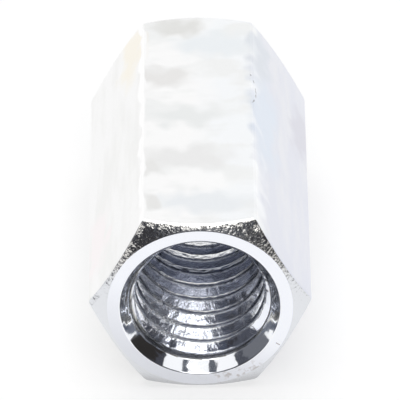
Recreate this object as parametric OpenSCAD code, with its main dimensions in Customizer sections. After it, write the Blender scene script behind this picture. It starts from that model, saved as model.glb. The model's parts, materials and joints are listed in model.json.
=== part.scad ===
// Coupling nut: a long hexagon nut that joins two threaded rods end to end.
// It lies on one flat with its bore along Y, and its origin is the middle of the bore.

/* [Hexagon bar] */
// Distance between two opposite flats
across_flats = 12.5; // [12:0.1:20]
// Overall length, from one end face to the other
nut_length = 25.4; // [16:0.1:80]
// Radius of the six long edges of the drawn bar
edge_radius = 0.3; // [0.1:0.05:0.8]

/* [End faces] */
// How far the flat end ring stops short of the flats
ring_inset = 0.31; // [0.1:0.01:0.6]
// Slope of the turned corner chamfer, measured from the end face
chamfer_angle = 35; // [15:1:45]

/* [Thread] */
// Major diameter of the internal thread
thread_major_d = 9.525; // [6:0.005:10]
// Distance from one thread crest to the next
thread_pitch = 1.5875; // [0.8:0.0005:2]
// How far the drilled hole cuts back each basic crest
crest_relief = 0.37; // [0:0.01:0.6]
// Angle round the bore at which the groove meets the front end face
thread_start = 275; // [0:5:355]

/* [Countersinks] */
// How far each countersink's rim stands outside the thread
rim_clearance = 0.42; // [0.1:0.01:0.6]
// Full angle of the countersink cone
countersink_angle = 75; // [50:5:100]

/* [Hidden] */
$fn = 96;

// How far a cutting tool reaches past the metal that it cuts
overcut = 0.3;
// Straight steps that make up each rounded corner of the bar
corner_steps = 4;
// Flat sides that stand in for one turn of the thread groove
sides_per_turn = 24;
// Height of the sharp triangle that a 60 degree thread is cut from
sharp_height = thread_pitch * cos(30);

bearing_r = across_flats / 2 - ring_inset;
corner_r = across_flats / sqrt(3);
chamfer_depth = (corner_r - bearing_r) * tan(chamfer_angle);
major_r = thread_major_d / 2;
minor_r = major_r - 5 / 8 * sharp_height + crest_relief;
rim_r = major_r + rim_clearance;
countersink_slope = tan(countersink_angle / 2);

// Half widths of the thread groove: flat at its root, and just short of the next turn at its mouth
root_half = thread_pitch / 16;
mouth_half = 0.47 * thread_pitch;
groove_inner_r = major_r - (mouth_half - root_half) / tan(30);

// Hexagon whose corners are rounded to the bar's edge radius in short straight steps
module bar_section() {
    inner_corner_r = (across_flats - 2 * edge_radius) / sqrt(3);
    polygon([
        for (corner = [0:60:300], step = [0:corner_steps])
            let (turn = corner - 30 + 60 * step / corner_steps)
            [
                inner_corner_r * cos(corner) + edge_radius * cos(turn),
                inner_corner_r * sin(corner) + edge_radius * sin(turn)
            ]
    ]);
}

// Solid of revolution that the lathe leaves: it trims the hexagon's corners at both ends
module turned_envelope() {
    half = nut_length / 2;
    rotate_extrude()
        polygon([
            [0, -half],
            [bearing_r, -half],
            [corner_r, chamfer_depth - half],
            [corner_r, half - chamfer_depth],
            [bearing_r, half],
            [0, half]
        ]);
}

// Cone that opens the mouth of the bore at the upper end
module countersink_cut() {
    depth = (rim_r - minor_r + overcut) / countersink_slope;
    translate([0, 0, nut_length / 2 - depth])
        cylinder(h = depth + overcut, r1 = minor_r - overcut, r2 = rim_r + overcut * countersink_slope);
}

// The groove's section at one height of the helix: narrow at the root, wide toward the bore
function groove_ring(z) =
    let (angle = thread_start + 360 * (z - nut_length / 2) / thread_pitch)
    [
        for (corner = [
            [groove_inner_r, -mouth_half],
            [major_r, -root_half],
            [major_r, root_half],
            [groove_inner_r, mouth_half]
        ])
            [corner[0] * cos(angle), corner[0] * sin(angle), z + corner[1]]
    ];

// Right-hand helical groove, one closed body that runs a turn past both ends of the bore
module thread_groove() {
    turns = nut_length / thread_pitch + 2;
    last = ceil(turns * sides_per_turn);
    points = [
        for (i = [0:last])
            each groove_ring(nut_length / 2 + thread_pitch * (1 - i / sides_per_turn))
    ];
    walls = [
        for (i = [0:last - 1], k = [0:3])
            let (
                a = 4 * i + k,
                b = 4 * i + (k + 1) % 4
            )
            each [[a, b + 4, b], [a, a + 4, b + 4]]
    ];
    first_end = [0, 1, 2, 3];
    last_end = [for (k = [3:-1:0]) 4 * last + k];
    polyhedron(points = points, faces = concat([first_end], walls, [last_end]));
}

module coupling_nut() {
    color("#dfe3ea")
        rotate([90, 0, 0])
            difference() {
                intersection() {
                    linear_extrude(height = nut_length, center = true)
                        bar_section();
                    turned_envelope();
                }
                cylinder(h = nut_length + 2 * overcut, r = minor_r, center = true);
                thread_groove();
                countersink_cut();
                mirror([0, 0, 1])
                    countersink_cut();
            }
}

coupling_nut();
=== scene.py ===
# %% [markdown]
# # A coupling nut in Blender
#
# A coupling nut is a long hexagon nut that joins two threaded rods end to end. It is one piece of
# steel bar: drawn to a hexagon, cut off and chamfered in a lathe, drilled, countersunk, tapped right
# through, and then plated with bright zinc. This lesson builds its skin at real size, gives each
# worked surface its own finish, and sets it on a pale floor.
#
# The nut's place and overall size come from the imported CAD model, so the first step loads it and
# keeps its box. Everything made later has to stay inside that box.

# %% Load the CAD frame
import json
import math

import bmesh
import bpy
import numpy as np
from mathutils import Matrix, Vector


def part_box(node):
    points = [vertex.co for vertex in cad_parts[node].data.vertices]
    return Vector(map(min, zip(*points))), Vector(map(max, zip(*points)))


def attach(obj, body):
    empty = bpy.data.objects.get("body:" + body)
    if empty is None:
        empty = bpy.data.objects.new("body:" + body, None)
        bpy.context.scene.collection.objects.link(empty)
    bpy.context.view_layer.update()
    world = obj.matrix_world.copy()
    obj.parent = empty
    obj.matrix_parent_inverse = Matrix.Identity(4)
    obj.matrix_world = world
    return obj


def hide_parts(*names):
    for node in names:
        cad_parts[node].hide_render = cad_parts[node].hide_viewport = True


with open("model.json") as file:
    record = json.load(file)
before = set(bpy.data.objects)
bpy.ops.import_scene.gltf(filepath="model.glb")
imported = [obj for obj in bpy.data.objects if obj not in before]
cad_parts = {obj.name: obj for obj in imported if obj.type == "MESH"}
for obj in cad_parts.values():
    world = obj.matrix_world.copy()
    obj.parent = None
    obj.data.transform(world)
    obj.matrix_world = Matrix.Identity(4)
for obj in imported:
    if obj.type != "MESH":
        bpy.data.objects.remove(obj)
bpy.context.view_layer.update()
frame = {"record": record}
MM = 0.001

# %% [markdown]
# ## Sizes
#
# A drawing of a nut gives a handful of sizes, in millimetres. Length and width across flats are
# measured on the CAD box, and the hole's radius is the one that the record gives for its thread.
# The rest belong to the tools that cut the nut: the tap, the countersink and the chamfering tool.
# The plated thread comes out a little tighter than the bare hole, by the crest fill.

# %% Sizes of the bar, the ends and the thread
nut_low, nut_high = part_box("coupling_nut")
nut_length = (nut_high[1] - nut_low[1]) / MM
half_nut = nut_length / 2
across_flats = (nut_high[2] - nut_low[2]) / MM
flat_height = across_flats / 2
mounts = {mount["name"]: mount for mount in frame["record"]["mounts"]}
crest_fill = 0.11
crest_radius = mounts["front_thread"]["dims"]["r_mm"] - crest_fill

edge_radius = 0.38
ring_inset = 0.34
ring_radius = flat_height - ring_inset
chamfer_angle = math.radians(35)

thread_diameter = 9.525
thread_radius = thread_diameter / 2
thread_pitch = 1.5875
thread_start = math.radians(275)
rim_margin = 0.40
rim_radius = thread_radius + rim_margin
cone_angle = math.radians(75)
cone_half_angle = cone_angle / 2
print(f"nut {nut_length:.2f} long, {across_flats:.2f} across flats, hole radius {crest_radius:.3f}")

# %% [markdown]
# ## One helper for nodes
#
# Geometry and materials are both built from nodes, and every node is added in the same way: pick
# a type, change a few settings, and feed its inputs with numbers or with other nodes' outputs.

# %% Add a node, with its settings and its links
def add_node(tree, kind, inputs=None, **settings):
    node = tree.nodes.new(kind)
    for name, value in settings.items():
        setattr(node, name, value)
    for socket, value in (inputs or {}).items():
        if isinstance(value, bpy.types.Node):
            value = next(out for out in value.outputs if out.enabled)
        if isinstance(value, bpy.types.NodeSocket):
            tree.links.new(value, node.inputs[socket])
        else:
            node.inputs[socket].default_value = value
    return node


# %% [markdown]
# ## Colours
#
# Colours are written as the hex values that a paint chart or a picture editor shows. Blender
# computes light in linear values, so one function turns the first into the second. Its numbers are
# those of the sRGB standard.

# %% sRGB hex to a linear colour
def linear(hex_code):
    channels = [int(hex_code[i:i + 2], 16) / 255 for i in (1, 3, 5)]
    return [c / 12.92 if c <= 0.04045 else ((c + 0.055) / 1.055) ** 2.4 for c in channels] + [1.0]


# %% One empty material for each worked surface, filled further down
DRAWN, TURNED, CHAMFERED, SUNK, TAPPED = (
    "Bright zinc on drawn steel",
    "Bright zinc on turned steel",
    "Bright zinc on rough chamfer",
    "Bright zinc on countersink",
    "Bright zinc on tapped thread",
)
finish_names = [DRAWN, TURNED, CHAMFERED, SUNK, TAPPED]
finishes = {name: bpy.data.materials.new(name) for name in finish_names}
print("finishes:", ", ".join(finish_names))

# %% [markdown]
# ## The tapped bore
#
# The thread is a single groove that winds round the bore like a spring. It could be swept along a
# helix curve and cut from the hole, but such a cut leaves thousands of sliver faces. A Geometry
# Nodes tree does it with arithmetic instead: a flat grid is rolled into a tube whose rows climb
# with the helix, and each point's distance from the axis is worked out from where it stands in
# the pitch. Rows that follow the helix put the same points on every crest, so crests stay crisp.
#
# A tap tears soft steel a little, so the crests of a real nut are ragged and no two turns match.
# Two noises do that: one slides the profile along the axis, the other pushes the crests in and out.
# This nut is torn more on its left, where the tap leaned, so both noises are stronger there.

# %% Start the tree with its named sizes
mouth_inset = 0.05
columns = 288
rows_per_turn = 18
spare_turns = 2
turns = math.ceil(nut_length / thread_pitch) + spare_turns

bore_tree = bpy.data.node_groups.new("Tapped bore", "GeometryNodeTree")
bore_tree.interface.new_socket("Geometry", in_out="OUTPUT", socket_type="NodeSocketGeometry")
bore_values = {
    "Length": nut_length,
    "Pitch": thread_pitch,
    "Root radius": thread_radius,
    "Crest radius": crest_radius,
    "Rim radius": rim_radius,
    "Mouth inset": mouth_inset,
    "Cone slope": math.tan(cone_half_angle),
    "Mouth flank slope": math.tan(math.radians(40)),
    "Deep flank slope": math.tan(math.radians(31)),
    "Flanks leaned to": 8.5,
    "Flanks true from": 11.5,
    "Lead radius": 4.52,
    "Lead depth": 1.30,
    "Lead slope": 3.0,
    "Start turn": thread_start / math.tau,
    "Crest roundness": 0.15,
    "Cone roundness": 0.06,
    "Tear along": 0.14,
    "Tear across": 0.09,
    "Tear on the left": 1.8,
    "Tear seed": 3.0,
    "Columns": columns + 1,
    "Rows": turns * rows_per_turn + 1,
    "Turns": float(turns),
    "Thread finish": finishes[TAPPED],
    "Cone finish": finishes[SUNK],
}
socket_kinds = {float: "NodeSocketFloat", int: "NodeSocketInt", bpy.types.Material: "NodeSocketMaterial"}
bore_sockets = {
    name: bore_tree.interface.new_socket(name, in_out="INPUT", socket_type=socket_kinds[type(value)])
    for name, value in bore_values.items()
}
given = add_node(bore_tree, "NodeGroupInput").outputs
MATH = "ShaderNodeMath"
print("the tapped bore has", len(bore_sockets), "named inputs")

# %% Roll a grid into a tube whose rows climb with the helix
grid = add_node(
    bore_tree, "GeometryNodeMeshGrid",
    {"Size X": 1.0, "Size Y": 1.0, "Vertices X": given["Columns"], "Vertices Y": given["Rows"]},
)
flat_place = add_node(
    bore_tree, "ShaderNodeSeparateXYZ", {0: add_node(bore_tree, "GeometryNodeInputPosition")}
).outputs
half_grid = 0.5
around = add_node(bore_tree, MATH, {0: flat_place["X"], 1: half_grid}, operation="ADD")
row_share = add_node(bore_tree, MATH, {0: flat_place["Y"], 1: half_grid}, operation="ADD")
climbed = add_node(bore_tree, MATH, {0: row_share, 1: given["Turns"]}, operation="MULTIPLY")
turns_deep = add_node(bore_tree, MATH, {0: climbed, 1: around}, operation="SUBTRACT")
free_depth = add_node(bore_tree, MATH, {0: turns_deep, 1: given["Pitch"]}, operation="MULTIPLY")
mouth = add_node(bore_tree, MATH, {0: given["Mouth inset"], 1: given["Cone slope"]}, operation="DIVIDE")
far_mouth = add_node(bore_tree, MATH, {0: given["Length"], 1: mouth}, operation="SUBTRACT")
not_before = add_node(bore_tree, MATH, {0: free_depth, 1: mouth}, operation="MAXIMUM")
depth = add_node(bore_tree, MATH, {0: not_before, 1: far_mouth}, operation="MINIMUM")
angle = add_node(bore_tree, MATH, {0: around, 1: math.tau}, operation="MULTIPLY")
across = add_node(bore_tree, MATH, {0: angle}, operation="COSINE")
up = add_node(bore_tree, MATH, {0: angle}, operation="SINE")

# %% Two noises that tear the thread, long round the bore and short along it
tear_round, tear_deep = 5.0, 1.6
tear_place = add_node(
    bore_tree, "ShaderNodeCombineXYZ",
    {
        "X": add_node(bore_tree, MATH, {0: across, 1: tear_round}, operation="MULTIPLY"),
        "Y": add_node(bore_tree, MATH, {0: depth, 1: tear_deep}, operation="MULTIPLY"),
        "Z": add_node(bore_tree, MATH, {0: up, 1: tear_round}, operation="MULTIPLY"),
    },
)
slide_noise = add_node(
    bore_tree, "ShaderNodeTexNoise",
    {"Vector": tear_place, "W": given["Tear seed"], "Scale": 0.8, "Detail": 4.0, "Roughness": 0.7},
    noise_dimensions="4D",
)
push_noise = add_node(
    bore_tree, "ShaderNodeTexNoise",
    {"Vector": tear_place, "W": given["Tear seed"], "Scale": 2.4, "Detail": 3.0, "Roughness": 0.65},
    noise_dimensions="4D",
)
noise_middle = 0.5
slide_even = add_node(bore_tree, MATH, {0: slide_noise, 1: noise_middle}, operation="SUBTRACT")
push_even = add_node(bore_tree, MATH, {0: push_noise, 1: noise_middle}, operation="SUBTRACT")

# %% Stronger on the left, and calm again where the bore turns upright, at -1 of the way across
tear_starts, tear_full = -0.15, -0.5
calm_at, torn_at = -0.85, -0.7
plain_tear, calm_tear = 1.0, 0.6
left_tear = add_node(
    bore_tree, "ShaderNodeMapRange",
    {
        "Value": across, "From Min": tear_starts, "From Max": tear_full,
        "To Min": plain_tear, "To Max": given["Tear on the left"],
    },
)
side_tear = add_node(
    bore_tree, "ShaderNodeMapRange",
    {
        "Value": across, "From Min": calm_at, "From Max": torn_at,
        "To Min": calm_tear, "To Max": given["Tear on the left"],
    },
)
one_sided = add_node(bore_tree, MATH, {0: left_tear, 1: side_tear}, operation="MINIMUM")
slide_sided = add_node(bore_tree, MATH, {0: slide_even, 1: one_sided}, operation="MULTIPLY")
push_sided = add_node(bore_tree, MATH, {0: push_even, 1: one_sided}, operation="MULTIPLY")
slide = add_node(bore_tree, MATH, {0: slide_sided, 1: given["Tear along"]}, operation="MULTIPLY")
push = add_node(bore_tree, MATH, {0: push_sided, 1: given["Tear across"]}, operation="MULTIPLY")

# %% The flanks lean near the mouths, and stand at their true angle deep down and at both sides
true_starts, true_full = 0.75, 0.93
to_far_end = add_node(bore_tree, MATH, {0: given["Length"], 1: depth}, operation="SUBTRACT")
to_end = add_node(bore_tree, MATH, {0: depth, 1: to_far_end}, operation="MINIMUM")
low_flank_slope = add_node(
    bore_tree, "ShaderNodeMapRange",
    {
        "Value": to_end, "From Min": given["Flanks leaned to"], "From Max": given["Flanks true from"],
        "To Min": given["Mouth flank slope"], "To Max": given["Deep flank slope"],
    },
)
sideways = add_node(bore_tree, MATH, {0: across}, operation="ABSOLUTE")
flank_slope = add_node(
    bore_tree, "ShaderNodeMapRange",
    {
        "Value": sideways, "From Min": true_starts, "From Max": true_full,
        "To Min": low_flank_slope, "To Max": given["Deep flank slope"],
    },
)

# %% Distance from the axis: root, flank and crest, by the place in the pitch
root_half_share = 1 / 16
half_turn = 0.5
pitches = add_node(bore_tree, MATH, {0: depth, 1: given["Pitch"]}, operation="DIVIDE")
wound = add_node(bore_tree, MATH, {0: pitches, 1: around}, operation="ADD")
started = add_node(bore_tree, MATH, {0: wound, 1: given["Start turn"]}, operation="SUBTRACT")
torn = add_node(bore_tree, MATH, {0: started, 1: slide}, operation="ADD")
folded = add_node(bore_tree, MATH, {0: torn, 1: half_turn}, operation="PINGPONG")
past_root = add_node(bore_tree, MATH, {0: folded, 1: root_half_share}, operation="SUBTRACT")
along_flank = add_node(bore_tree, MATH, {0: past_root, 1: given["Pitch"]}, operation="MULTIPLY")
flank_drop = add_node(bore_tree, MATH, {0: along_flank, 1: flank_slope}, operation="DIVIDE")
flank = add_node(bore_tree, MATH, {0: given["Root radius"], 1: flank_drop}, operation="SUBTRACT")
rounded = add_node(
    bore_tree, MATH, {0: flank, 1: given["Crest radius"], 2: given["Crest roundness"]},
    operation="SMOOTH_MAX",
)
bottomed = add_node(bore_tree, MATH, {0: rounded, 1: given["Root radius"]}, operation="MINIMUM")
thread = add_node(bore_tree, MATH, {0: bottomed, 1: push}, operation="ADD")

# %% The mouth: a short lead where the first turn was cut away, and the countersink's cone
past_lead = add_node(bore_tree, MATH, {0: to_end, 1: given["Lead depth"]}, operation="SUBTRACT")
beyond_lead = add_node(bore_tree, MATH, {0: past_lead, 1: 0.0}, operation="MAXIMUM")
lead_drop = add_node(bore_tree, MATH, {0: beyond_lead, 1: given["Lead slope"]}, operation="MULTIPLY")
lead = add_node(bore_tree, MATH, {0: given["Lead radius"], 1: lead_drop}, operation="SUBTRACT")
led_thread = add_node(bore_tree, MATH, {0: thread, 1: lead}, operation="MAXIMUM")
cone_drop = add_node(bore_tree, MATH, {0: to_end, 1: given["Cone slope"]}, operation="MULTIPLY")
cone = add_node(bore_tree, MATH, {0: given["Rim radius"], 1: cone_drop}, operation="SUBTRACT")
radius = add_node(
    bore_tree, MATH, {0: led_thread, 1: cone, 2: given["Cone roundness"]}, operation="SMOOTH_MAX"
)

# %% Move the grid there, weld the seam and give each zone its finish
seam_gap = 0.001 * MM
half_length = add_node(bore_tree, MATH, {0: given["Length"], 1: 0.5}, operation="MULTIPLY")
place_mm = add_node(
    bore_tree, "ShaderNodeCombineXYZ",
    {
        "X": add_node(bore_tree, MATH, {0: radius, 1: across}, operation="MULTIPLY"),
        "Y": add_node(bore_tree, MATH, {0: depth, 1: half_length}, operation="SUBTRACT"),
        "Z": add_node(bore_tree, MATH, {0: radius, 1: up}, operation="MULTIPLY"),
    },
)
place = add_node(bore_tree, "ShaderNodeVectorMath", {0: place_mm, "Scale": MM}, operation="SCALE")
on_cone = add_node(
    bore_tree, "FunctionNodeCompare", {0: cone, 1: led_thread}, operation="GREATER_THAN", data_type="FLOAT"
)
marked = add_node(
    bore_tree, "GeometryNodeStoreNamedAttribute",
    {"Geometry": grid.outputs["Mesh"], "Name": "on_cone", "Value": on_cone},
    data_type="BOOLEAN", domain="POINT",
)
tube = add_node(bore_tree, "GeometryNodeSetPosition", {"Geometry": marked, "Position": place})
welded = add_node(bore_tree, "GeometryNodeMergeByDistance", {"Geometry": tube, "Distance": seam_gap})
realized = add_node(bore_tree, "GeometryNodeRealizeInstances", {"Geometry": welded})
tapped = add_node(
    bore_tree, "GeometryNodeSetMaterial", {"Geometry": realized, "Material": given["Thread finish"]}
)
cone_mark = add_node(bore_tree, "GeometryNodeInputNamedAttribute", {"Name": "on_cone"}, data_type="BOOLEAN")
sunk = add_node(
    bore_tree, "GeometryNodeSetMaterial",
    {"Geometry": tapped, "Selection": cone_mark, "Material": given["Cone finish"]},
)
add_node(bore_tree, "NodeGroupOutput", {"Geometry": sunk})

# %% Run the tree once and keep its result as a plain mesh
bore_object = bpy.data.objects.new("Bore_maker", bpy.data.meshes.new("Bore maker"))
bpy.context.collection.objects.link(bore_object)
bore_modifier = bore_object.modifiers.new("Tapped bore", "NODES")
bore_modifier.node_group = bore_tree
for name, value in bore_values.items():
    bore_modifier[bore_sockets[name].identifier] = value
bore_object.update_tag()
bore_mesh = bpy.data.meshes.new_from_object(
    bore_object.evaluated_get(bpy.context.evaluated_depsgraph_get())
)
bpy.data.objects.remove(bore_object)
print("bore:", len(bore_mesh.vertices), "points,", len(bore_mesh.polygons), "faces")

# %% [markdown]
# ## The hexagon outside
#
# Round the outside, the nut's section hardly changes from one angle to the next: from the rim of
# the countersink out along the flat ring, over the turned chamfer and onto the flat. Only the
# distance to the flat changes, because the bar is a hexagon. So the outside is made like the bore,
# as rows round the axis, but here plain numpy arrays are enough. Each column's section has its
# corners rounded, since plated steel has no razor edges and every rounded edge catches a highlight.

# %% Distance from the axis to the rounded hexagon, at any angle
sides = 6
side_angle = math.tau / sides
half_side_angle = side_angle / 2
inner_corner = (across_flats - 2 * edge_radius) / math.sqrt(3)
arc_reach = math.atan2(
    edge_radius * math.sin(half_side_angle), inner_corner + edge_radius * math.cos(half_side_angle)
)


def hexagon_radius(angle):
    from_corner = abs((angle + half_side_angle) % side_angle - half_side_angle)
    if from_corner > arc_reach:
        return flat_height / math.cos(half_side_angle - from_corner)
    side_step = inner_corner * math.sin(from_corner)
    return inner_corner * math.cos(from_corner) + math.sqrt(edge_radius ** 2 - side_step ** 2)


# %% Round one corner of a section, and share out points between two ends
def rounded_corner(before, corner, after, radius, steps):
    to_before = (before - corner) / np.linalg.norm(before - corner)
    to_after = (after - corner) / np.linalg.norm(after - corner)
    half_opening = math.acos(float(to_before @ to_after)) / 2
    middle = (to_before + to_after) / np.linalg.norm(to_before + to_after)
    centre = corner + middle * radius / math.sin(half_opening)
    start = corner + to_before * radius / math.tan(half_opening) - centre
    end = corner + to_after * radius / math.tan(half_opening) - centre
    sweep = math.acos(float(start @ end) / radius ** 2)
    return [
        centre + (start * math.sin((1 - t) * sweep) + end * math.sin(t * sweep)) / math.sin(sweep)
        for t in np.linspace(0, 1, steps + 1)
    ]


def shared_out(start, end, steps):
    return [start + (end - start) * t for t in np.linspace(0, 1, steps + 1)]


# %% The section at one angle, from the countersink to the middle of the bar
rim_round, ring_round, shoulder_round = 0.13, 0.25, 0.40
rim_arc_steps, ring_arc_steps, shoulder_arc_steps = 4, 4, 5
ring_steps, chamfer_steps, flat_steps = 3, 5, 6
rim_split, ring_split, shoulder_split = 3, 3, 2


def half_section(flat_radius):
    mouth = np.array([rim_radius - mouth_inset, mouth_inset / math.tan(cone_half_angle)])
    rim = np.array([rim_radius, 0.0])
    ring_edge = np.array([ring_radius, 0.0])
    shoulder = np.array([flat_radius, (flat_radius - ring_radius) * math.tan(chamfer_angle)])
    middle = np.array([flat_radius, half_nut])
    rim_arc = rounded_corner(mouth, rim, ring_edge, rim_round, rim_arc_steps)
    ring_arc = rounded_corner(rim, ring_edge, shoulder, ring_round, ring_arc_steps)
    shoulder_arc = rounded_corner(ring_edge, shoulder, middle, shoulder_round, shoulder_arc_steps)
    ring_rows = shared_out(rim_arc[-1], ring_arc[0], ring_steps)
    chamfer_rows = shared_out(ring_arc[-1], shoulder_arc[0], chamfer_steps)
    flat_rows = shared_out(shoulder_arc[-1], middle, flat_steps)
    return [
        (SUNK, [mouth] + rim_arc[:rim_split]),
        (TURNED, rim_arc[rim_split:-1] + ring_rows[:-1] + ring_arc[:ring_split]),
        (CHAMFERED, ring_arc[ring_split:-1] + chamfer_rows[:-1] + shoulder_arc[:shoulder_split]),
        (DRAWN, shoulder_arc[shoulder_split:-1] + flat_rows),
    ]


# %% Turn the sections into rows of points, with columns that crowd toward the six corners
corner_crowding = 0.10
even_angles = [math.tau * k / columns for k in range(columns)]
sections = [half_section(hexagon_radius(a - corner_crowding * math.sin(sides * a))) for a in even_angles]
row_finish = [name for name, points in sections[0] for _ in points]
front = np.array([[point for _, points in zones for point in points] for zones in sections])
crowding = np.clip((front[0, :, 0] - rim_radius) / (ring_radius - rim_radius), 0, 1)
even_columns = np.array(even_angles)[:, None]
angles = even_columns - corner_crowding * np.sin(sides * even_columns) * crowding
back = front[:, ::-1] * [1, -1] + [0, nut_length]
section_points = np.concatenate([front, back[:, 1:]], axis=1)
section_angles = np.concatenate([angles, angles[:, ::-1][:, 1:]], axis=1)
row_finish = row_finish[:-1] + row_finish[-2::-1]
outside = np.stack(
    [
        section_points[..., 0] * np.cos(section_angles),
        section_points[..., 1] - half_nut,
        section_points[..., 0] * np.sin(section_angles),
    ],
    axis=-1,
) * MM
print("outside:", outside.shape[0], "columns,", outside.shape[1], "rows")

# %% [markdown]
# ## One closed skin
#
# The bore and the outside meet on a circle just inside each countersink's rim, deep enough for the
# rim's rounding to start above it. Welding the two sets of points there gives one closed mesh.
# Recalculating the normals once, on the closed mesh, turns every face outward.

# %% Join bore and outside, and weld them at the two mouths
weld_gap, sliver = 2e-6, 1e-7
skin = bmesh.new()
skin.from_mesh(bore_mesh)
bore_slots = [material.name if material else "" for material in bore_mesh.materials]
for face in skin.faces:
    face.material_index = finish_names.index(bore_slots[face.material_index])
grid_points = [[skin.verts.new(point) for point in column] for column in outside]
for k in range(columns):
    here, there = grid_points[k], grid_points[(k + 1) % columns]
    for row, finish in enumerate(row_finish):
        face = skin.faces.new((here[row], here[row + 1], there[row + 1], there[row]))
        face.material_index = finish_names.index(finish)
bmesh.ops.remove_doubles(skin, verts=skin.verts, dist=weld_gap)
bmesh.ops.dissolve_degenerate(skin, dist=sliver, edges=skin.edges)
bmesh.ops.recalc_face_normals(skin, faces=skin.faces)
open_edges = sum(not edge.is_manifold for edge in skin.edges)
print("skin:", len(skin.verts), "points,", len(skin.faces), "faces,", open_edges, "open edges")

# %% Make it an object that stands for the CAD node
nut_mesh = bpy.data.meshes.new("Coupling nut skin")
skin.to_mesh(nut_mesh)
skin.free()
bpy.data.meshes.remove(bore_mesh)
for name in finish_names:
    nut_mesh.materials.append(finishes[name])
nut_mesh.shade_smooth()
nut = bpy.data.objects.new("Nut_skin", nut_mesh)
bpy.context.collection.objects.link(nut)
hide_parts("coupling_nut")
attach(nut, "root")

face_finishes = [finish_names[face.material_index] for face in nut_mesh.polygons]
print({name: face_finishes.count(name) for name in finish_names})

# %% [markdown]
# ## Bright zinc, five ways
#
# Every surface wears the same coat: a few micrometres of zinc under a clear, faintly blue
# passivate film, so it is a mirror with a cool cast. What differs is the steel below it, and with
# it the way the mirror image breaks up. One function makes the coat, and each finish gives it a
# roughness and a list of reliefs.
#
# A relief is a noise with its waves per millimetre along each axis, its detail, its depth in
# millimetres and its strength, from 0 to 1. Tool marks a few hundredths of a millimetre wide are
# too fine to show, so they are drawn a tenth to a third of a millimetre wide.

# %% The zinc coat
def bright_zinc(name, roughness):
    finishes[name].use_nodes = True
    tree = finishes[name].node_tree
    shader = tree.nodes["Principled BSDF"]
    shader.inputs["Metallic"].default_value = 1.0
    shader.inputs["Roughness"].default_value = roughness
    place = add_node(tree, "ShaderNodeTexCoord").outputs["Object"]
    place_mm = add_node(tree, "ShaderNodeVectorMath", {0: place, "Scale": 1 / MM}, operation="SCALE")
    return tree, shader, place_mm


# %% Reliefs, each one a bump on top of the one before
relief_seed = 10.0


def roughen(tree, shader, place_mm, reliefs):
    normal = None
    for number, (waves, detail, depth, strength) in enumerate(reliefs):
        stretched = add_node(tree, "ShaderNodeVectorMath", {0: place_mm, 1: waves}, operation="MULTIPLY")
        height = add_node(
            tree, "ShaderNodeTexNoise",
            {"Vector": stretched, "W": relief_seed + number, "Scale": 1.0, "Detail": detail},
            noise_dimensions="4D",
        )
        bump = add_node(
            tree, "ShaderNodeBump", {"Height": height, "Distance": depth * MM, "Strength": strength}
        )
        if normal:
            tree.links.new(normal, bump.inputs["Normal"])
        normal = bump.outputs["Normal"]
    tree.links.new(normal, shader.inputs["Normal"])


# %% A soft-edged patch, 1 at its centre and 0 at its reach
full_inside = 0.35


def patch(tree, place_mm, centre, reach):
    offset = add_node(tree, "ShaderNodeVectorMath", {0: place_mm, 1: centre}, operation="SUBTRACT")
    shrunk = add_node(tree, "ShaderNodeVectorMath", {0: offset, 1: reach}, operation="DIVIDE")
    away = add_node(tree, "ShaderNodeVectorMath", {0: shrunk}, operation="LENGTH").outputs["Value"]
    return add_node(
        tree, "ShaderNodeMapRange", {"Value": away, "From Min": 1.0, "From Max": full_inside},
        interpolation_type="SMOOTHSTEP",
    )


# %% A scratch along an arc, kept to one part of the arc
def scratch(tree, place_mm, arc_centre, arc_radius, middle, half_length, half_width):
    from_centre = add_node(
        tree, "ShaderNodeVectorMath", {0: place_mm, 1: arc_centre}, operation="DISTANCE"
    ).outputs["Value"]
    off_arc = add_node(tree, "ShaderNodeMath", {0: from_centre, 1: arc_radius}, operation="SUBTRACT")
    beside = add_node(tree, "ShaderNodeMath", {0: off_arc}, operation="ABSOLUTE")
    line = add_node(
        tree, "ShaderNodeMapRange", {"Value": beside, "From Min": half_width, "From Max": half_width / 2}
    )
    from_middle = add_node(
        tree, "ShaderNodeVectorMath", {0: place_mm, 1: middle}, operation="DISTANCE"
    ).outputs["Value"]
    kept = add_node(tree, "ShaderNodeMath", {0: from_middle, 1: half_length}, operation="LESS_THAN")
    return add_node(tree, "ShaderNodeMath", {0: line, 1: kept}, operation="MULTIPLY")


# %% A noise stretched to given waves per mm, and read between two of its levels
def mottle(tree, place_mm, waves, detail, seed, low, high):
    stretched = add_node(tree, "ShaderNodeVectorMath", {0: place_mm, 1: waves}, operation="MULTIPLY")
    noise = add_node(
        tree, "ShaderNodeTexNoise", {"Vector": stretched, "W": seed, "Scale": 1.0, "Detail": detail},
        noise_dimensions="4D",
    )
    return add_node(tree, "ShaderNodeMapRange", {"Value": noise, "From Min": low, "From Max": high})


# %% Lay tints over a colour, one after another
def tinted(tree, colour, layers):
    for amount, tint in layers:
        colour = add_node(
            tree, "ShaderNodeMix", {0: amount, 6: colour, 7: linear(tint)}, data_type="RGBA"
        ).outputs[2]
    return colour


# %% [markdown]
# ## The drawn flats
#
# A die leaves a bar's flats shiny but wavy, with waves some 2 to 5 mm long, so a mirror image in
# them swims. Rinsing and drying after the plating leave hazy stains, and where the passivate film
# is thicker it turns yellow, blue or lavender. The stains could be painted, but soft patches in
# millimetres need no image. Their place is stirred by a slow noise first, so no edge is an ellipse.

# %% The flats' waves, and a stirred copy of each place
flat_tree, flat_shader, flat_mm = bright_zinc(DRAWN, 0.10)
flat_waves = [
    ((0.20, 0.22, 0.20), 1.0, 0.050, 1.0),
    ((0.55, 0.60, 0.55), 2.0, 0.012, 1.0),
]
roughen(flat_tree, flat_shader, flat_mm, flat_waves)

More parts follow.
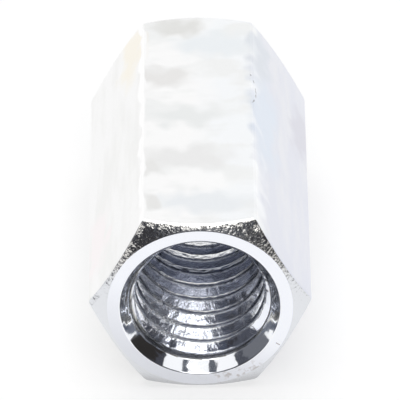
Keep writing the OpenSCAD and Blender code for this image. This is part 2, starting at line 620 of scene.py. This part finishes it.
stir_waves, stir_reach = (0.9, 0.7, 0.9), 2.0
stir_place = add_node(flat_tree, "ShaderNodeVectorMath", {0: flat_mm, 1: stir_waves}, operation="MULTIPLY")
stir_noise = add_node(flat_tree, "ShaderNodeTexNoise", {"Vector": stir_place, "Scale": 1.0, "Detail": 0.5})
stir_even = add_node(
    flat_tree, "ShaderNodeVectorMath", {0: stir_noise.outputs["Color"], 1: (noise_middle,) * 3},
    operation="SUBTRACT",
)
stir = add_node(flat_tree, "ShaderNodeVectorMath", {0: stir_even, "Scale": stir_reach}, operation="SCALE")
stirred_mm = add_node(flat_tree, "ShaderNodeVectorMath", {0: flat_mm, 1: stir}, operation="ADD")
stirred = add_node(flat_tree, "ShaderNodeSeparateXYZ", {0: stirred_mm}).outputs
sharp = add_node(flat_tree, "ShaderNodeSeparateXYZ", {0: flat_mm}).outputs

# %% Haze all over, and the two sides with their streaks along the bar, painted darker as shade, the right one more and bluer
haze = mottle(flat_tree, flat_mm, waves=(0.30, 0.50, 0.20), detail=2.5, seed=4.0, low=0.46, high=0.60)
streaks = mottle(flat_tree, flat_mm, waves=(0.8, 0.16, 0.8), detail=4.0, seed=6.0, low=0.44, high=0.62)
rightness = add_node(
    flat_tree, "ShaderNodeMapRange", {"Value": stirred["X"], "From Min": -0.5, "From Max": 1.5}
)
left_side_shaded = add_node(
    flat_tree, "ShaderNodeMapRange", {"Value": sharp["X"], "From Min": -3.5, "From Max": -3.8}
)
right_side_shaded = add_node(
    flat_tree, "ShaderNodeMapRange", {"Value": stirred["X"], "From Min": 3.4, "From Max": 4.4}
)
right_streak_share = 0.35
right_streaks = add_node(
    flat_tree, "ShaderNodeMath", {0: right_side_shaded, 1: right_streak_share}, operation="MULTIPLY"
)
either_side = add_node(flat_tree, "ShaderNodeMath", {0: left_side_shaded, 1: right_streaks}, operation="MAXIMUM")
streaked = add_node(flat_tree, "ShaderNodeMath", {0: streaks, 1: either_side}, operation="MULTIPLY")

# %% A dotted scratch on the top flat, and a painted highlight along its left edge
scratch_centre, scratch_radius = (-1.07, 3.4, flat_height), 4.89
scratch_middle = (3.82, 3.4, flat_height)
scratched = scratch(
    flat_tree, flat_mm, scratch_centre, scratch_radius, scratch_middle, half_length=1.85, half_width=0.05
)
dots = mottle(flat_tree, flat_mm, waves=(2.6, 2.6, 2.6), detail=2.0, seed=8.0, low=0.47, high=0.55)
dotted_scratch = add_node(flat_tree, "ShaderNodeMath", {0: scratched, 1: dots}, operation="MULTIPLY")

left_edge, edge_lumps = 3.62, 0.3
lumpy_x = add_node(flat_tree, "ShaderNodeMix", {0: edge_lumps, 2: sharp["X"], 3: stirred["X"]}).outputs[0]
off_edge = add_node(flat_tree, "ShaderNodeMath", {0: lumpy_x, 1: left_edge}, operation="ADD")
beside_edge = add_node(flat_tree, "ShaderNodeMath", {0: off_edge}, operation="ABSOLUTE")
left_edge_highlight = add_node(
    flat_tree, "ShaderNodeMapRange", {"Value": beside_edge, "From Min": 0.21, "From Max": 0.13}
)

# %% Stains and tinges, each with its centre and its reach in mm, and its tint
side_tinges = [
    ((4.4, 1.5, 5.2), (1.5, 8.0, 3.0), "#DAE2EE"),
    ((4.1, 8.8, 5.3), (1.3, 4.0, 2.0), "#D6DBE3"),
    ((6.7, 6.0, 0.8), (1.4, 4.0, 2.4), "#D4D4DE"),
    ((-4.4, 9.8, 4.9), (1.4, 4.8, 2.6), "#F5EFE2"),
    ((-6.6, -7.0, 1.2), (1.3, 4.5, 2.4), "#F5EFF0"),
]
top_stains = [
    ((-0.8, -4.7, 6.2), (4.0, 2.0, 2.0), "#EFEFEF"),
    ((-0.8, 0.3, 6.2), (3.6, 1.8, 2.0), "#EEF0F0"),
    ((0.2, -9.9, 6.2), (4.6, 1.7, 2.0), "#EFF2F5"),
    ((1.2, 9.0, 6.2), (4.0, 2.2, 2.0), "#F0F4F7"),
    ((0.4, -7.4, 6.2), (2.6, 1.7, 2.0), "#FFFFFF"),
    ((-1.3, 11.1, 6.2), (2.3, 1.6, 2.0), "#E6E6E4"),
    ((-2.3, 5.0, 6.2), (2.8, 1.7, 2.0), "#ECEBEA"),
    ((-3.1, -5.6, 6.2), (1.0, 1.3, 2.0), "#ECECEB"),
    ((-3.1, -9.8, 6.2), (1.0, 1.2, 2.0), "#EBEBEA"),
]
flat_stains = [
    (patch(flat_tree, stirred_mm, centre, reach), tint) for centre, reach, tint in side_tinges + top_stains
]
flat_film = tinted(
    flat_tree, linear("#FEFEFE"),
    [
        (rightness, "#FAFCFE"),
        (haze, "#F5F6F6"),
        # painted shade: the left flat a little greyer, the right flat darker and bluer
        (left_side_shaded, "#F4F4F4"),
        (right_side_shaded, "#DDDFE9"),
        (streaked, "#EEEEED"),
        *flat_stains,
        # painted highlight: a white line along the top flat's left edge
        (left_edge_highlight, "#FFFFFF"),
        (dotted_scratch, "#A9AAAE"),
    ],
)
flat_tree.links.new(flat_film, flat_shader.inputs["Base Color"])
print("flats:", len(flat_stains), "stains and tinges,", len(flat_tree.nodes), "nodes")

# %% [markdown]
# ## The countersink and the chamfer
#
# The countersink is cut by a tool with many edges that rubs as it cuts, so its cone is nearly a
# plain mirror. The chamfer is the roughest surface: one quick cut with a worn tool, with tears 0.2
# to 1 mm long and a broken edge where it runs out on the flats. A noise on the mesh could tear it,
# but that would need many thousands of faces, so reliefs do it. They are calmer toward the upper
# left, and a mask makes them strong along the broken edge and at one corner.

# %% The polished countersink
sunk_tree, sunk_shader, sunk_mm = bright_zinc(SUNK, 0.07)
sunk_shader.inputs["Base Color"].default_value = linear("#F6F8FC")
roughen(sunk_tree, sunk_shader, sunk_mm, [((0.8, 0.8, 0.8), 2.0, 0.030, 1.0)])
print("countersink:", len(sunk_tree.nodes), "nodes")

# %% The chamfer's film, painted darker near the floor as painted shade
cut_tree, cut_shader, cut_mm = bright_zinc(CHAMFERED, 0.13)
cut_height = add_node(cut_tree, "ShaderNodeSeparateXYZ", {0: cut_mm}).outputs["Z"]
# painted shade: the chamfer's film greys within a millimetre of the floor
cut_low_shade = add_node(cut_tree, "ShaderNodeMapRange", {"Value": cut_height, "From Min": -5.2, "From Max": -6.0})
cut_high = add_node(cut_tree, "ShaderNodeMapRange", {"Value": cut_height, "From Min": 2.0, "From Max": 4.0})
cut_film = tinted(cut_tree, linear("#E0E2E6"), [(cut_low_shade, "#C8C9CC"), (cut_high, "#DFDDD9")])
cut_tree.links.new(cut_film, cut_shader.inputs["Base Color"])

# %% Where the chamfer's edge is broken: along the top flat and the upper left one, and at a corner
to_upper_left = (-math.cos(half_side_angle), 0, math.sin(half_side_angle))
left_reach = add_node(
    cut_tree, "ShaderNodeVectorMath", {0: cut_mm, 1: to_upper_left}, operation="DOT_PRODUCT"
).outputs["Value"]
edge_reach = add_node(cut_tree, "ShaderNodeMath", {0: cut_height, 1: left_reach}, operation="MAXIMUM")
cut_folded = add_node(cut_tree, "ShaderNodeVectorMath", {0: cut_mm}, operation="ABSOLUTE")
cut_sideways = add_node(cut_tree, "ShaderNodeSeparateXYZ", {0: cut_folded}).outputs["X"]
corner_share = add_node(
    cut_tree, "ShaderNodeMapRange",
    {"Value": cut_sideways, "From Min": 1.7, "From Max": 2.3, "To Max": 0.13},
)
wide_reach = add_node(cut_tree, "ShaderNodeMath", {0: edge_reach, 1: corner_share}, operation="ADD")
cut_edge = add_node(cut_tree, "ShaderNodeMapRange", {"Value": wide_reach, "From Min": 5.97, "From Max": 6.09})
broken_corner = patch(cut_tree, cut_mm, centre=(3.35, 0.9 - half_nut, 5.75), reach=(1.0, 1.5, 0.55))
broken_zone = add_node(cut_tree, "ShaderNodeMath", {0: cut_edge, 1: broken_corner}, operation="MAXIMUM")
cut_breaks = mottle(cut_tree, cut_mm, waves=(1.6, 1.6, 1.6), detail=2.0, seed=3.0, low=0.42, high=0.48)
broken_edge = add_node(cut_tree, "ShaderNodeMath", {0: broken_zone, 1: cut_breaks}, operation="MULTIPLY")

# %% The chamfer's tears
calm_way = (-0.35, 0, 1.0)
cut_side = add_node(cut_tree, "ShaderNodeVectorMath", {0: cut_mm, 1: calm_way}, operation="DOT_PRODUCT")
cut_strength = add_node(
    cut_tree, "ShaderNodeMapRange",
    {"Value": cut_side.outputs["Value"], "From Min": 3.2, "From Max": 5.8, "To Min": 0.85, "To Max": 0.55},
)
cut_tears = [
    ((0.9, 0.9, 0.9), 3.0, 0.060, cut_strength),
    ((5.0, 5.0, 5.0), 3.0, 0.085, cut_strength),
    ((3.4, 3.4, 3.4), 2.0, 0.240, broken_edge),
]
roughen(cut_tree, cut_shader, cut_mm, cut_tears)
print("chamfer:", len(cut_tree.nodes), "nodes")

# %% [markdown]
# ## The turned ring
#
# The lathe faces the ring fine and even, so it is a soft mirror. Handling leaves it a few flecks and
# a nick. Its film is painted darker toward the floor and the lower left, as painted shade. Painting
# the flecks and the nick would need an image, so the flecks are a noise kept to one patch, and the
# nick is a scratch only 0.3 mm long.

# %% The ring's film with painted shade toward the floor, its flecks and its nick
ring_tree, ring_shader, ring_mm = bright_zinc(TURNED, 0.16)
roughen(ring_tree, ring_shader, ring_mm, [((1.2, 1.2, 1.2), 3.0, 0.006, 1.0)])
to_floor = (-0.5, 0, -1.0)
ring_slope = add_node(ring_tree, "ShaderNodeVectorMath", {0: ring_mm, 1: to_floor}, operation="DOT_PRODUCT")
# painted shade: the ring's film darkens toward the floor and the lower left
ring_low_shade = add_node(
    ring_tree, "ShaderNodeMapRange", {"Value": ring_slope.outputs["Value"], "From Min": 0.5, "From Max": 5.4}
)
fleck_noise = mottle(ring_tree, ring_mm, waves=(2.2, 2.2, 2.2), detail=4.0, seed=2.0, low=0.52, high=0.62)
fleck_place = patch(ring_tree, ring_mm, centre=(2.6, -half_nut, -5.0), reach=(3.6, 1.0, 1.1))
flecks = add_node(ring_tree, "ShaderNodeMath", {0: fleck_noise, 1: fleck_place}, operation="MULTIPLY")
nick_centre, nick_radius = (6.02, -half_nut, -1.15), 2.0
nick_middle = (4.96, -half_nut, -2.85)
nick = scratch(
    ring_tree, ring_mm, nick_centre, nick_radius, nick_middle, half_length=0.16, half_width=0.04
)
ring_film = tinted(
    ring_tree, linear("#F3F5FB"), [(ring_low_shade, "#DEE0E6"), (flecks, "#C6C3C4"), (nick, "#A8A29C")]
)
ring_tree.links.new(ring_film, ring_shader.inputs["Base Color"])
print("ring:", len(ring_tree.nodes), "nodes")

# %% [markdown]
# ## The torn thread
#
# A tap tears its thread along the turns, so the relief is stretched round the bore and short across
# it. Chips wipe the lower crests nearly smooth as they leave, and those crests are painted near white
# as a painted highlight. Painted shade greys the coat a few millimetres down the bore, and darkens its
# ceiling, one deep crest turn and the floor of the lead at the near mouth. All of that is masks on
# the distance from the axis and on the place in millimetres, which hold wherever the nut is seen from.

# %% Place round the axis, the crests, and the lower half whose crests are wiped smooth and painted bright
torn_roughness, wiped_roughness = 0.17, 0.11
tap_tree, tap_shader, tap_mm = bright_zinc(TAPPED, torn_roughness)
tap_axes = add_node(tap_tree, "ShaderNodeSeparateXYZ", {0: tap_mm}).outputs
across_axis = (1, 0, 1)
flattened = add_node(tap_tree, "ShaderNodeVectorMath", {0: tap_mm, 1: across_axis}, operation="MULTIPLY")
from_axis = add_node(tap_tree, "ShaderNodeVectorMath", {0: flattened}, operation="LENGTH").outputs["Value"]
down_flank = add_node(tap_tree, "ShaderNodeMath", {0: from_axis, 1: tap_axes["Y"]}, operation="ADD")
round_turn = add_node(
    tap_tree, "ShaderNodeCombineXYZ", {"X": tap_axes["X"], "Y": down_flank, "Z": tap_axes["Z"]}
)
crest_foot, crest_top = 0.16, 0.06
crest_mark = add_node(
    tap_tree, "ShaderNodeMapRange",
    {"Value": from_axis, "From Min": crest_radius + crest_foot, "From Max": crest_radius + crest_top},
)
low_half = add_node(
    tap_tree, "ShaderNodeMapRange", {"Value": tap_axes["Z"], "From Min": 1.0, "From Max": -1.0}
)
wiped_crests_and_highlight = add_node(tap_tree, "ShaderNodeMath", {0: crest_mark, 1: low_half}, operation="MULTIPLY")

# %% Where the thread is even: wiped crests, one side, the first turn and deep down
untorn = add_node(
    tap_tree, "ShaderNodeMapRange", {"Value": tap_axes["X"], "From Min": -2.0, "From Max": -1.2}
)
crest_even = add_node(tap_tree, "ShaderNodeMath", {0: wiped_crests_and_highlight, 1: untorn}, operation="MULTIPLY")
side_even = patch(tap_tree, tap_mm, centre=(2.4, -8.0, -3.2), reach=(3.0, 9.0, 3.0))
deep_even = add_node(
    tap_tree, "ShaderNodeMapRange",
    {"Value": tap_axes["Y"], "From Min": -6.0, "From Max": -1.0, "To Max": 0.7},
)
folded_mm = add_node(tap_tree, "ShaderNodeVectorMath", {0: tap_mm}, operation="ABSOLUTE")
from_middle = add_node(tap_tree, "ShaderNodeSeparateXYZ", {0: folded_mm}).outputs["Y"]
first_turn = add_node(
    tap_tree, "ShaderNodeMapRange",
    {"Value": from_middle, "From Min": half_nut - 2.3, "From Max": half_nut - 1.8},
)
side_bright = patch(tap_tree, folded_mm, centre=(4.1, half_nut - 2.6, 0.6), reach=(1.3, 3.4, 2.8))
mouth_even = add_node(tap_tree, "ShaderNodeMath", {0: first_turn, 1: side_bright}, operation="MAXIMUM")
partly_even = add_node(tap_tree, "ShaderNodeMath", {0: crest_even, 1: side_even}, operation="MAXIMUM")
mostly_even = add_node(tap_tree, "ShaderNodeMath", {0: partly_even, 1: mouth_even}, operation="MAXIMUM")
even = add_node(tap_tree, "ShaderNodeMath", {0: mostly_even, 1: deep_even}, operation="MAXIMUM")

# %% The thread's roughness and tears, with the crests on one side torn the most
wiped = add_node(tap_tree, "ShaderNodeMath", {0: wiped_crests_and_highlight, 1: mouth_even}, operation="MAXIMUM")
tap_roughness = add_node(
    tap_tree, "ShaderNodeMapRange", {"Value": wiped, "To Min": torn_roughness, "To Max": wiped_roughness}
)
tap_tree.links.new(tap_roughness.outputs[0], tap_shader.inputs["Roughness"])
tear_strength = add_node(tap_tree, "ShaderNodeMapRange", {"Value": even, "To Min": 1.0, "To Max": 0.30})
torn_foot, torn_top = 0.22, 0.12
torn_side = patch(tap_tree, tap_mm, centre=(-2.5, -9.0, -3.3), reach=(1.8, 5.6, 2.2))
torn_mark = add_node(
    tap_tree, "ShaderNodeMapRange",
    {"Value": from_axis, "From Min": crest_radius + torn_foot, "From Max": crest_radius + torn_top},
)
torn_crest = add_node(tap_tree, "ShaderNodeMath", {0: torn_side, 1: torn_mark}, operation="MULTIPLY")
thread_tears = [
    ((0.4, 5.5, 0.4), 3.0, 0.034, tear_strength),
    ((6.0, 14.0, 6.0), 5.0, 0.042, tear_strength),
    ((6.0, 11.0, 6.0), 2.0, 0.140, torn_crest),
]
roughen(tap_tree, tap_shader, round_turn, thread_tears)

# %% The thread's film: painted shade down the hole, on the ceiling, on one deep turn and in the lead, and a painted highlight on the lower crests
# painted shade: the bore's film is bright for 5 mm from the near mouth and greys by 10 mm down
shade_full_at, shade_starts_at = 10, 5
bore_depth_shade = add_node(
    tap_tree, "ShaderNodeMapRange",
    {"Value": tap_axes["Y"], "From Min": shade_full_at - half_nut, "From Max": shade_starts_at - half_nut},
)
# painted shade: the ceiling toward the far end painted dark
ceiling_shade = patch(tap_tree, tap_mm, centre=(0.0, 7.8, 4.4), reach=(5.0, 3.2, 4.0))
# painted shade: one crest turn about 10 mm down painted darker
deep_turn_shade = patch(tap_tree, tap_mm, centre=(0.0, -2.5, -4.2), reach=(5.0, 1.2, 3.0))
deep_crest_shade = add_node(tap_tree, "ShaderNodeMath", {0: deep_turn_shade, 1: crest_mark}, operation="MULTIPLY")
# painted shade: the floor of the lead at the near mouth painted grey
lead_shade_ends, lead_shade_full_to = 1.50, 1.35
near_mouth = add_node(
    tap_tree, "ShaderNodeMapRange",
    {"Value": tap_axes["Y"], "From Min": lead_shade_ends - half_nut, "From Max": lead_shade_full_to - half_nut},
)
lead_floor = add_node(
    tap_tree, "ShaderNodeMapRange", {"Value": from_axis, "From Min": 4.32, "From Max": 4.44}
)
lead_shade = add_node(tap_tree, "ShaderNodeMath", {0: near_mouth, 1: lead_floor}, operation="MULTIPLY")
tap_film = tinted(
    tap_tree, linear("#ACB1C2"),
    [
        (bore_depth_shade, "#F1F4FC"),
        (ceiling_shade, "#5E626C"),
        # painted highlight: the lower crests painted near white
        (wiped_crests_and_highlight, "#FCFDFE"),
        (deep_crest_shade, "#A4A8B2"),
        (lead_shade, "#B9B8B4"),
    ],
)
tap_tree.links.new(tap_film, tap_shader.inputs["Base Color"])
print("thread:", len(tap_tree.nodes), "nodes")

# %% [markdown]
# ## The studio
#
# Polished metal has hardly any colour of its own: it shows what stands round it. So the studio is
# built for its reflections. The air is white, a large soft lamp hangs overhead and a smaller one
# stands in front, and the floor is a pale opal sheet that glows a little, so that it stays white
# and its shadow stays soft. Dark cards stand where the camera is, at both sides and overhead, to
# give the chamfer, the countersink and the thread their contrast, and a pale one stands behind.
# Reflections alone see the cards: they cast no shadow.

# %% The floor
floor_half_size = 1.5
floor_sides = ((-1, -1), (1, -1), (1, 1), (-1, 1))
floor_points = [(x * floor_half_size, y * floor_half_size, nut_low[2]) for x, y in floor_sides]
floor_mesh = bpy.data.meshes.new("Floor")
floor_mesh.from_pydata(floor_points, [], [(0, 1, 2, 3)])
floor = bpy.data.objects.new("Floor", floor_mesh)
bpy.context.collection.objects.link(floor)
print("floor:", 2 * floor_half_size, "m square")

# %% Its opal acrylic, matt on top, so it mirrors nothing and glows through
opal = bpy.data.materials.new("Opal acrylic sheet, matt")
opal.use_nodes = True
opal_shader = opal.node_tree.nodes["Principled BSDF"]
opal_shader.inputs["Base Color"].default_value = linear("#CFCFCF")
opal_shader.inputs["Roughness"].default_value = 1.0
opal_shader.inputs["Specular IOR Level"].default_value = 0.0
opal_shader.inputs["Emission Color"].default_value = linear("#FFFFFF")
opal_shader.inputs["Emission Strength"].default_value = 0.50
floor_mesh.materials.append(opal)

# %% White air: full white to the camera and to reflections, dimmer as a light
dim_air, white_air = 0.5, 1.0
world = bpy.data.worlds.new("White air")
bpy.context.scene.world = world
world.use_nodes = True
world.node_tree.nodes.clear()
rays = add_node(world.node_tree, "ShaderNodeLightPath").outputs
seen = add_node(
    world.node_tree, "ShaderNodeMath", {0: rays["Is Camera Ray"], 1: rays["Is Glossy Ray"]},
    operation="MAXIMUM",
)
seen_through = add_node(
    world.node_tree, "ShaderNodeMath", {0: seen, 1: rays["Is Transmission Ray"]}, operation="MAXIMUM"
)
air_level = add_node(
    world.node_tree, "ShaderNodeMapRange", {"Value": seen_through, "To Min": dim_air, "To Max": white_air}
)
air = add_node(world.node_tree, "ShaderNodeBackground", {"Color": linear("#FFFFFF"), "Strength": air_level})
add_node(world.node_tree, "ShaderNodeOutputWorld", {"Surface": air})

# %% Two soft lamps: a large one overhead, and a smaller one in front that lights the thread
def soft_lamp(name, place, size, power):
    lamp_data = bpy.data.lights.new(name, "AREA")
    lamp_data.shape = "RECTANGLE"
    lamp_data.size, lamp_data.size_y = size
    lamp_data.energy = power
    lamp = bpy.data.objects.new(name, lamp_data)
    bpy.context.collection.objects.link(lamp)
    lamp.location = place
    lamp.rotation_euler = Vector(place).to_track_quat("Z", "Y").to_euler()
    lamp.visible_camera = False
    print(f"{name}: {power} W")


soft_lamp("Overhead_softbox", place=(0, 0.12, 1.0), size=(0.9, 0.9), power=3.0)
soft_lamp("Front_softbox", place=(0.06, -0.54, 0.72), size=(0.52, 0.46), power=1.1)

# %% One card on a dome: azimuth 0 is the camera's side and 90 the right, elevation 90 is overhead
card_distance = 0.95
card_steps = 12


def card(name, azimuths, elevations, hex_code):
    paint = bpy.data.materials.new(name)
    paint.use_nodes = True
    paint.node_tree.nodes.clear()
    glow = add_node(paint.node_tree, "ShaderNodeEmission", {"Color": linear(hex_code)})
    add_node(paint.node_tree, "ShaderNodeOutputMaterial", {"Surface": glow})
    turned = np.radians(np.linspace(*azimuths, card_steps))
    raised = np.radians(np.linspace(*elevations, card_steps))
    points = [
        (
            card_distance * math.sin(a) * math.cos(e),
            -card_distance * math.cos(a) * math.cos(e),
            card_distance * math.sin(e),
        )
        for a in turned for e in raised
    ]
    faces = [
        (i * card_steps + j, (i + 1) * card_steps + j, (i + 1) * card_steps + j + 1, i * card_steps + j + 1)
        for i in range(card_steps - 1) for j in range(card_steps - 1)
    ]
    mesh = bpy.data.meshes.new(name)
    mesh.from_pydata(points, [], faces)
    mesh.materials.append(paint)
    thing = bpy.data.objects.new(name, mesh)
    bpy.context.collection.objects.link(thing)
    thing.visible_camera = False
    thing.visible_diffuse = False
    thing.visible_shadow = False


# %% All the cards, each with its azimuths and elevations in degrees, and its colour
cards = {
    "Left_low_card": ((-47, -21), (0, 31), "#3A3A3D"),
    "Right_low_card": ((33, 47), (0, 31), "#454446"),
    "Camera_low_card": ((-21, 33), (0, 15), "#454446"),
    "Camera_middle_card": ((-21, 33), (15, 33), "#72767F"),
    "Camera_high_card": ((-21, 33), (33, 44), "#4A4E5A"),
    "Left_front_card": ((-47, -21), (31, 49), "#4A4E5A"),
    "Right_front_card": ((33, 47), (31, 49), "#4A4E5A"),
    "Left_corner_card": ((-72, -47), (-1, 43), "#4E5058"),
    "Right_corner_card": ((47, 72), (-1, 43), "#45464D"),
    "Left_side_card": ((-100, -72), (-1, 44), "#6E7076"),
    "Right_side_card": ((72, 100), (-1, 44), "#302E2D"),
    "Left_overhead_bar": ((-41, -26), (60, 70), "#5C6068"),
    "Right_overhead_bar": ((33.5, 48.5), (60, 70), "#5C6068"),
    "Back_card": ((158, 202), (20, 60), "#FBFBFB"),
}
for name, (azimuths, elevations, hex_code) in cards.items():
    card(name, azimuths, elevations, hex_code)
print("cards:", len(cards))

# %% [markdown]
# ## The camera
#
# A long lens from above the near end: it flattens the bar and looks well down the bore. It could be
# aimed with a constraint, but a matrix worked out from an elevation, a turn and a small roll says
# plainly where it stands.

# %% The lens
camera_data = bpy.data.cameras.new("Camera")
camera = bpy.data.objects.new("Camera", camera_data)
bpy.context.collection.objects.link(camera)
bpy.context.scene.camera = camera
camera_data.sensor_width = 36
camera_data.lens = 552.3
camera_data.clip_start, camera_data.clip_end = 0.01, 20

# %% Place the camera from an elevation, a turn and a small roll
elevation, turn, roll = map(math.radians, (33.618, 0.112, -0.756))
aim = Vector((0.066, -0.29, 0.045)) * MM
camera_distance = 402.1 * MM
backward = Vector((
    math.sin(turn) * math.cos(elevation), -math.cos(turn) * math.cos(elevation), math.sin(elevation)
))
level_right = (-backward).cross(Vector((0, 0, 1))).normalized()
level_up = level_right.cross(-backward)
camera_axes = Matrix((
    level_right * math.cos(roll) + level_up * math.sin(roll),
    level_up * math.cos(roll) - level_right * math.sin(roll),
    backward,
))
camera.matrix_world = Matrix.Translation(aim + backward * camera_distance) @ camera_axes.transposed().to_4x4()
bpy.context.scene.view_settings.view_transform = "Standard"
print("camera at", [round(v, 3) for v in camera.matrix_world.translation], "m")
